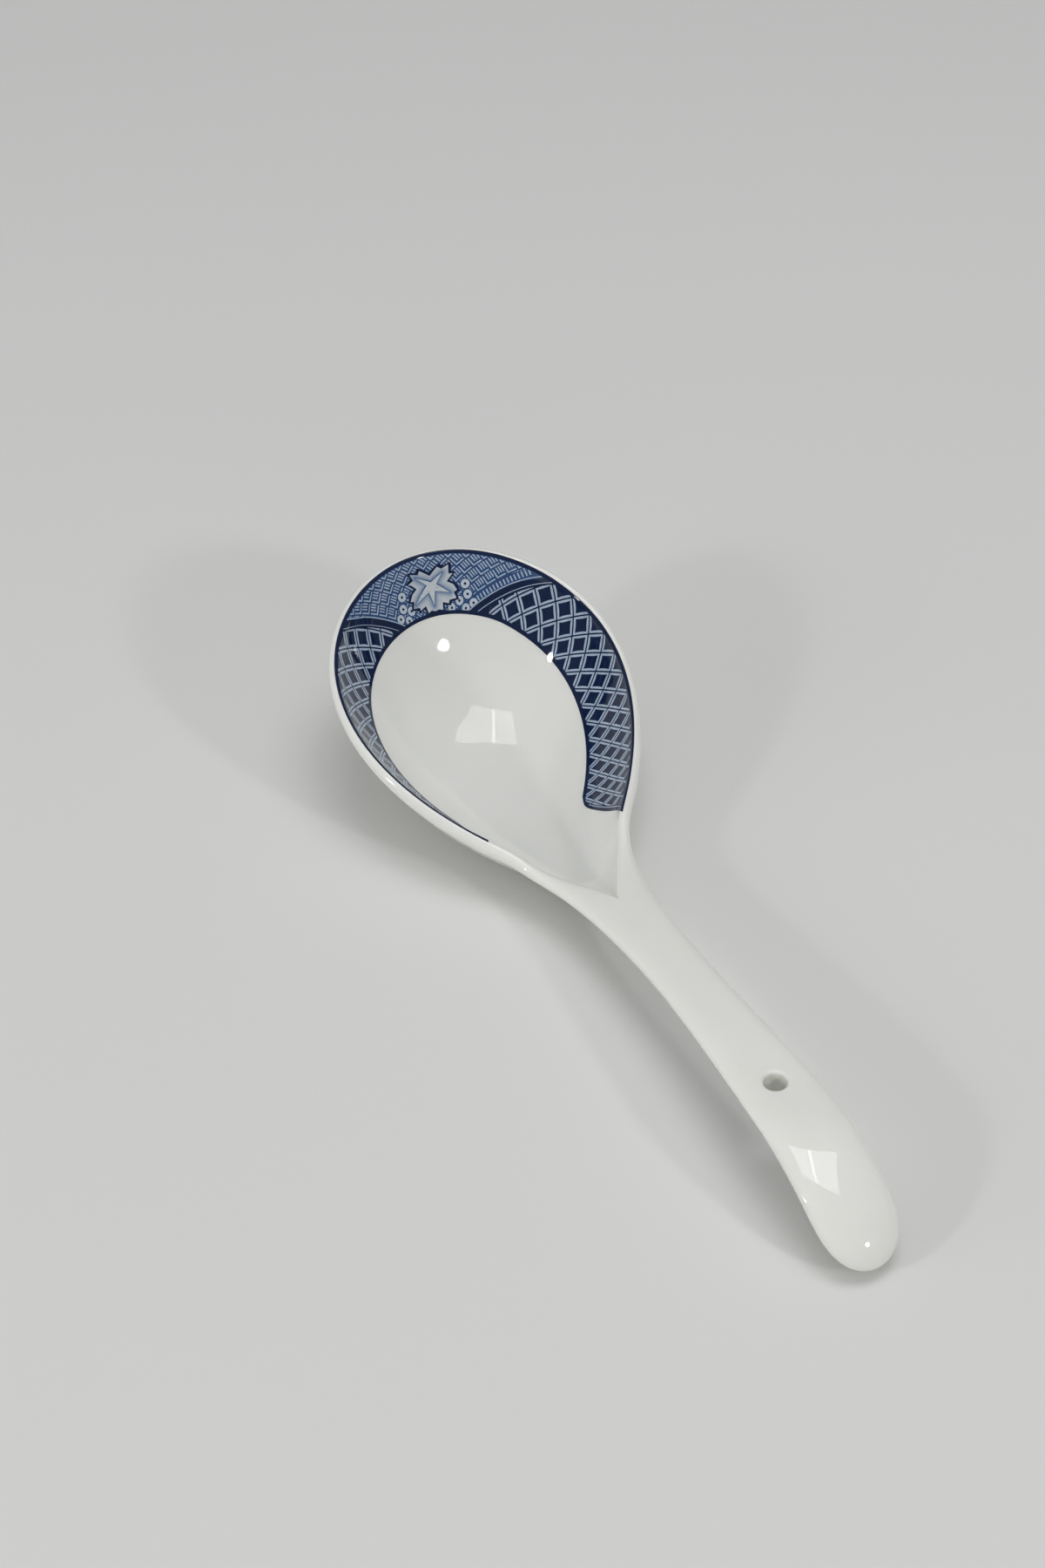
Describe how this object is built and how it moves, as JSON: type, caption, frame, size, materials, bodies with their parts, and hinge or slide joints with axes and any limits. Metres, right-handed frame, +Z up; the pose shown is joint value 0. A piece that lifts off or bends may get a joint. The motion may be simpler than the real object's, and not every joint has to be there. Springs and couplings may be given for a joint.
{
  "type": "soup spoon",
  "caption": "Glazed china soup spoon with a deep egg-shaped bowl, a flat foot, an arched handle with a hanging hole and a blue trellis border printed inside the rim.",
  "frame": {"origin": "middle of the flat foot under the bowl, on the surface that the spoon stands on", "axes": "+X along the spoon from the bowl towards the handle's end, +Z up, +Y to the left of someone looking along +X"},
  "size_m": [0.2041, 0.0686, 0.0409],
  "materials": {
    "china": "clear gloss glaze over ivory bone china",
    "navy_print": "dark blue print under a clear gloss glaze",
    "blue_print": "mid-blue print under a clear gloss glaze",
    "pale_print": "pale blue print under a clear gloss glaze"
  },
  "bodies": {
    "root": {"bowl": "china", "handle": "china", "rim_line": "navy_print", "inner_line": "navy_print", "left_trellis": "navy_print", "right_trellis": "navy_print", "fret_panel": "blue_print", "flower": "pale_print", "left_divider": "navy_print", "right_divider": "navy_print"}
  },
  "joints": []
}
